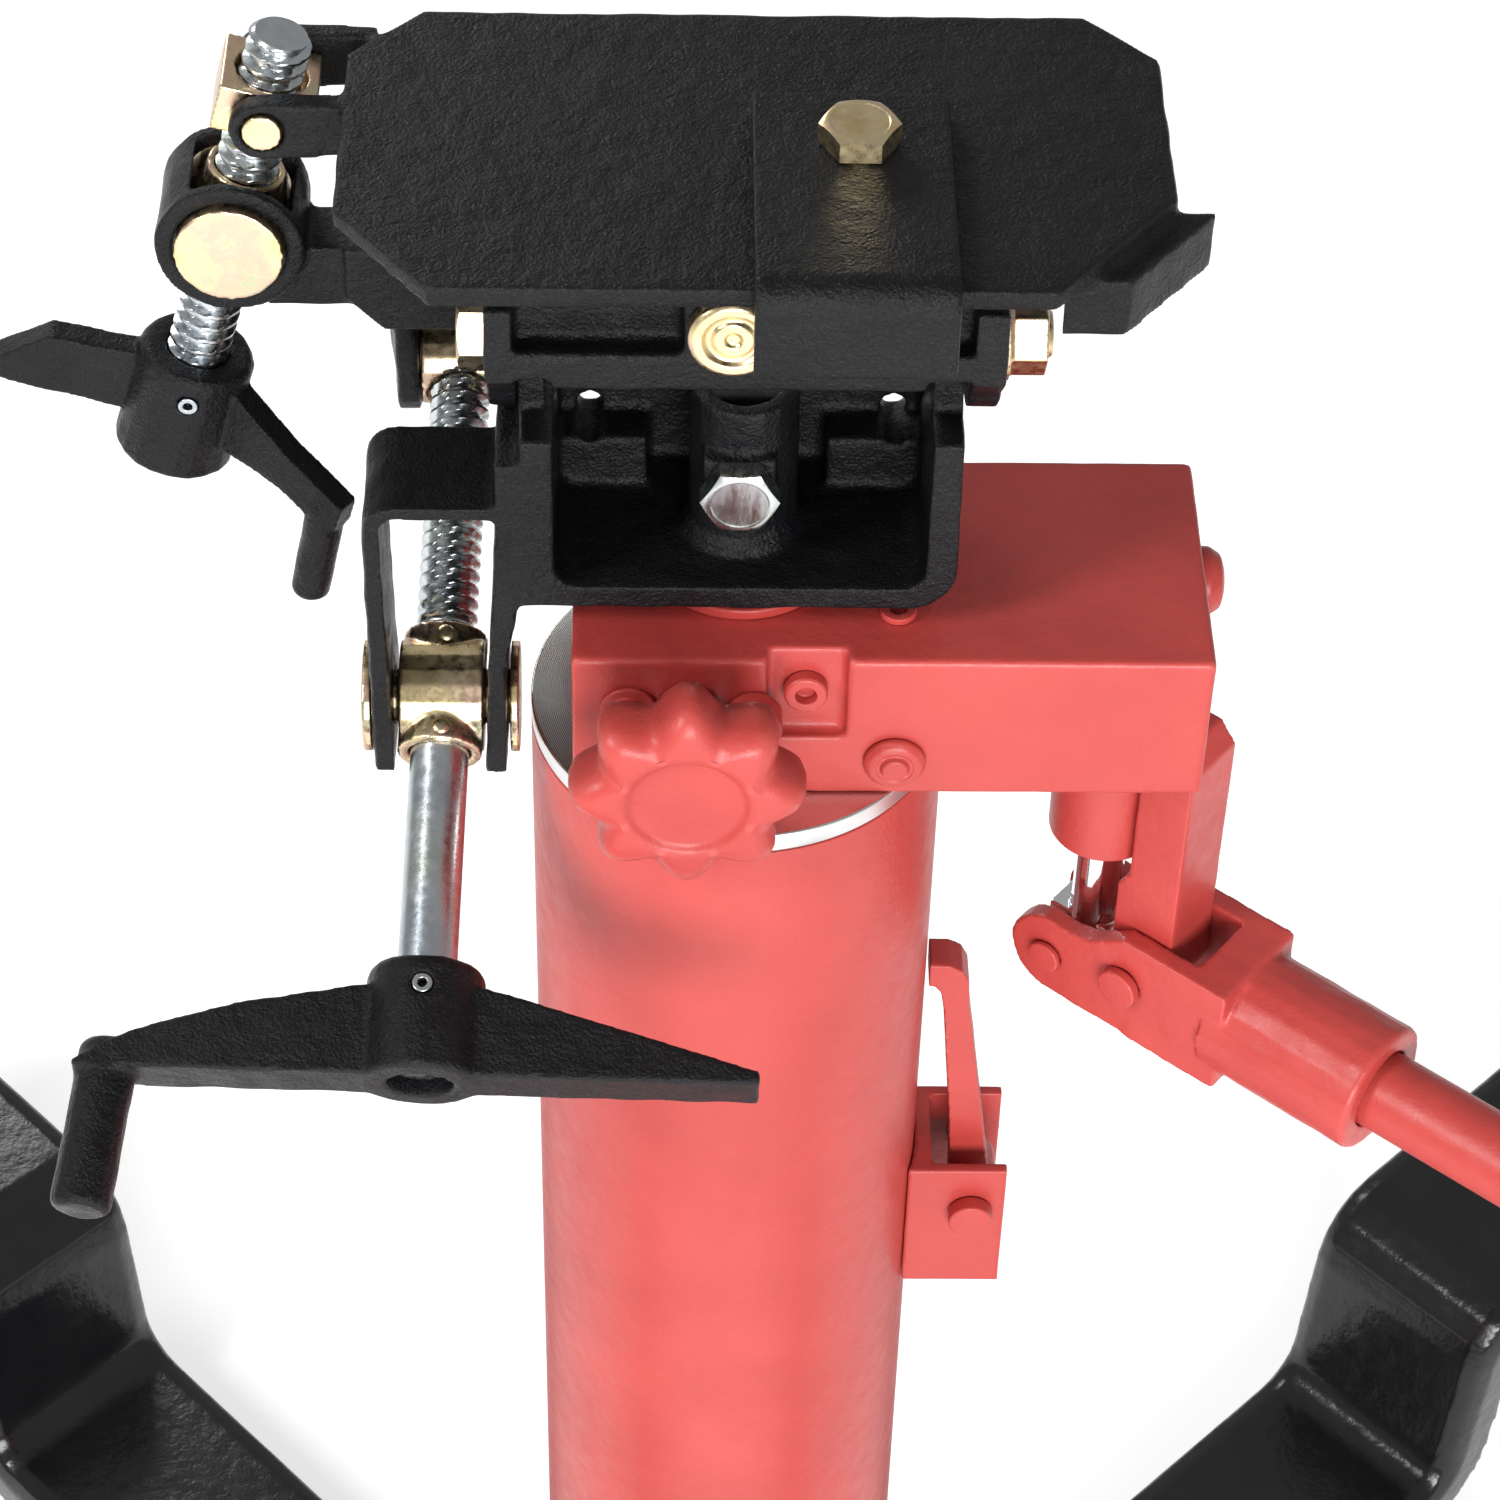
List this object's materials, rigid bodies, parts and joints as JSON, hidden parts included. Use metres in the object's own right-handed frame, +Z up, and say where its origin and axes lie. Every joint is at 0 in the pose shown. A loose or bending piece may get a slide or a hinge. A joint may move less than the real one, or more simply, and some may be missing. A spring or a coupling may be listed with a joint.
{
  "type": "telescopic transmission jack",
  "caption": "Tall telescopic hydraulic jack on a caster base, with a side pump lever, a release knob and a black saddle that tilts and rolls by crank screws.",
  "frame": {"origin": "on the floor, on the ram's axis", "axes": "+Z up along the ram, +X towards the pump end, -Y towards the operator who turns the release knob"},
  "size_m": [0.877, 0.877, 0.8923],
  "materials": {
    "black_leg": "gloss",
    "red_enamel": "gloss",
    "black_casting": "rough cast, semi gloss",
    "zinc": "bright zinc plate",
    "gold_zinc": "yellow zinc plate",
    "chrome": "polished",
    "machined_steel": "turned",
    "wheel_rubber": "matt"
  },
  "bodies": {
    "base": {"base_hub": "black_leg", "leg_1": "black_leg", "leg_2": "black_leg", "leg_3": "black_leg", "leg_4": "black_leg", "caster_plate_1": "zinc", "caster_plate_2": "zinc", "caster_plate_3": "zinc", "caster_plate_4": "zinc", "reservoir_tube": "red_enamel", "reservoir_cap": "machined_steel", "pressure_cylinder": "machined_steel", "pump_block": "red_enamel", "gland_nut": "red_enamel", "cover_screw": "red_enamel", "bypass_screw": "red_enamel", "gallery_plug": "red_enamel", "fill_plug": "red_enamel", "bleed_screw": "red_enamel", "check_valve_plug": "red_enamel", "valve_bonnet": "red_enamel", "pump_cylinder": "red_enamel", "fulcrum_bracket": "red_enamel", "catch_bracket": "red_enamel", "catch_pin": "red_enamel"},
    "outer_stage": {"outer_ram": "chrome"},
    "head": {"inner_ram": "chrome", "head_casting": "black_casting", "head_bolt": "zinc", "pivot_bolt": "gold_zinc", "pivot_nut": "gold_zinc"},
    "frame": {"tilt_frame": "black_casting", "roll_pin": "gold_zinc"},
    "tilt_swivel": {"tilt_trunnion": "gold_zinc"},
    "tilt_drive": {"tilt_screw": "zinc", "tilt_crank": "black_casting"},
    "tilt_block": {"tilt_nut": "gold_zinc"},
    "saddle": {"saddle_plate": "black_casting", "front_strap": "black_casting", "strap_bolt": "gold_zinc"},
    "roll_swivel": {"roll_trunnion": "gold_zinc"},
    "roll_drive": {"roll_screw": "zinc", "roll_crank": "black_casting"},
    "roll_block": {"roll_nut": "gold_zinc"},
    "knob": {"release_knob": "red_enamel"},
    "lever": {"pump_lever": "red_enamel", "piston_pin": "red_enamel", "fulcrum_pin": "red_enamel", "pump_handle": "red_enamel"},
    "piston": {"pump_piston": "chrome"},
    "catch": {"catch_lever": "red_enamel"},
    "caster_1": {"caster_fork_1": "zinc"},
    "wheel_1": {"caster_wheel_1": "wheel_rubber"},
    "caster_2": {"caster_fork_2": "zinc"},
    "wheel_2": {"caster_wheel_2": "wheel_rubber"},
    "caster_3": {"caster_fork_3": "zinc"},
    "wheel_3": {"caster_wheel_3": "wheel_rubber"},
    "caster_4": {"caster_fork_4": "zinc"},
    "wheel_4": {"caster_wheel_4": "wheel_rubber"}
  },
  "joints": [
    {"name": "outer_stage_lift", "type": "slide", "parent": "base", "child": "outer_stage", "axis": [0, 0, 1], "range_m": [0, 0.47]},
    {"name": "head_lift", "type": "slide", "parent": "outer_stage", "child": "head", "axis": [0, 0, 1], "range_m": [0, 0.46]},
    {"name": "tilt_screw_spin", "type": "hinge", "parent": "tilt_swivel", "child": "tilt_drive", "pos_m": [-0.0762, -0.011, 0.7234], "axis": [-0.0262, -0.9269, -0.3745], "range_deg": [-1800, 1800]},
    {"name": "tilt_swivel_pivot", "type": "hinge", "parent": "head", "child": "tilt_swivel", "pos_m": [-0.0762, -0.011, 0.7234], "axis": [1, 0, 0], "range_deg": [-7, 7]},
    {"name": "frame_tilt", "type": "hinge", "parent": "head", "child": "frame", "pos_m": [0, 0, 0.8355], "axis": [1, 0, 0], "range_deg": [-13, 13]},
    {"name": "tilt_block_pivot", "type": "hinge", "parent": "frame", "child": "tilt_block", "pos_m": [-0.07359, 0.08132, 0.7607], "axis": [1, 0, 0], "range_deg": [-8, 8]},
    {"name": "roll_swivel_pivot", "type": "hinge", "parent": "frame", "child": "roll_swivel", "pos_m": [-0.127, 0.045, 0.834], "axis": [0, 1, 0], "range_deg": [-3, 3]},
    {"name": "roll_screw_spin", "type": "hinge", "parent": "roll_swivel", "child": "roll_drive", "pos_m": [-0.127, 0.045, 0.834], "axis": [-0.2672, 0, -0.9636], "range_deg": [-900, 900]},
    {"name": "saddle_roll", "type": "hinge", "parent": "frame", "child": "saddle", "pos_m": [-0.0038, 0, 0.858], "axis": [0, 1, 0], "range_deg": [-6, 6]},
    {"name": "roll_block_pivot", "type": "hinge", "parent": "saddle", "child": "roll_block", "pos_m": [-0.11647, 0.045, 0.87197], "axis": [0, 1, 0], "range_deg": [-9, 9]},
    {"name": "release_knob_turn", "type": "hinge", "parent": "base", "child": "knob", "pos_m": [-0.0135, 0, 0.748], "axis": [0, -1, 0], "range_deg": [0, 360]},
    {"name": "pump_stroke", "type": "hinge", "parent": "base", "child": "lever", "pos_m": [0.11582, -0.01369, 0.6315], "axis": [-0.6428, -0.766, 0], "range_deg": [0, 25]},
    {"name": "piston_stroke", "type": "slide", "parent": "base", "child": "piston", "axis": [0, 0, 1], "range_m": [-0.0105, 0.0003]},
    {"name": "catch_swing", "type": "hinge", "parent": "base", "child": "catch", "pos_m": [0.0705, 0, 0.523], "axis": [0, 1, 0], "range_deg": [0, 10]},
    {"name": "caster_1_swivel", "type": "hinge", "parent": "base", "child": "caster_1", "pos_m": [0.36871, 0.35235, 0.11], "axis": [0, 0, 1], "continuous": true},
    {"name": "wheel_1_spin", "type": "hinge", "parent": "caster_1", "child": "wheel_1", "pos_m": [0.39474, 0.37722, 0.05], "axis": [-0.6909, 0.723, 0], "continuous": true},
    {"name": "caster_2_swivel", "type": "hinge", "parent": "base", "child": "caster_2", "pos_m": [-0.35235, 0.36871, 0.11], "axis": [0, 0, 1], "continuous": true},
    {"name": "wheel_2_spin", "type": "hinge", "parent": "caster_2", "child": "wheel_2", "pos_m": [-0.37722, 0.39474, 0.05], "axis": [-0.723, -0.6909, 0], "continuous": true},
    {"name": "caster_3_swivel", "type": "hinge", "parent": "base", "child": "caster_3", "pos_m": [-0.36871, -0.35235, 0.11], "axis": [0, 0, 1], "continuous": true},
    {"name": "wheel_3_spin", "type": "hinge", "parent": "caster_3", "child": "wheel_3", "pos_m": [-0.39474, -0.37722, 0.05], "axis": [0.6909, -0.723, 0], "continuous": true},
    {"name": "caster_4_swivel", "type": "hinge", "parent": "base", "child": "caster_4", "pos_m": [0.35235, -0.36871, 0.11], "axis": [0, 0, 1], "continuous": true},
    {"name": "wheel_4_spin", "type": "hinge", "parent": "caster_4", "child": "wheel_4", "pos_m": [0.37722, -0.39474, 0.05], "axis": [0.723, 0.6909, 0], "continuous": true}
  ],
  "couplings": [
    {"joint": "frame_tilt", "follows": "tilt_screw_spin", "ratio": 0.0063801},
    {"joint": "tilt_swivel_pivot", "follows": "tilt_screw_spin", "ratio": 0.0030356},
    {"joint": "tilt_block_pivot", "follows": "tilt_screw_spin", "ratio": -0.0033444},
    {"joint": "saddle_roll", "follows": "roll_screw_spin", "ratio": 0.0056686},
    {"joint": "roll_swivel_pivot", "follows": "roll_screw_spin", "ratio": -0.0023956},
    {"joint": "roll_block_pivot", "follows": "roll_screw_spin", "ratio": -0.0080643},
    {"joint": "piston_stroke", "follows": "pump_stroke", "m_per_rad": -0.02285}
  ]
}
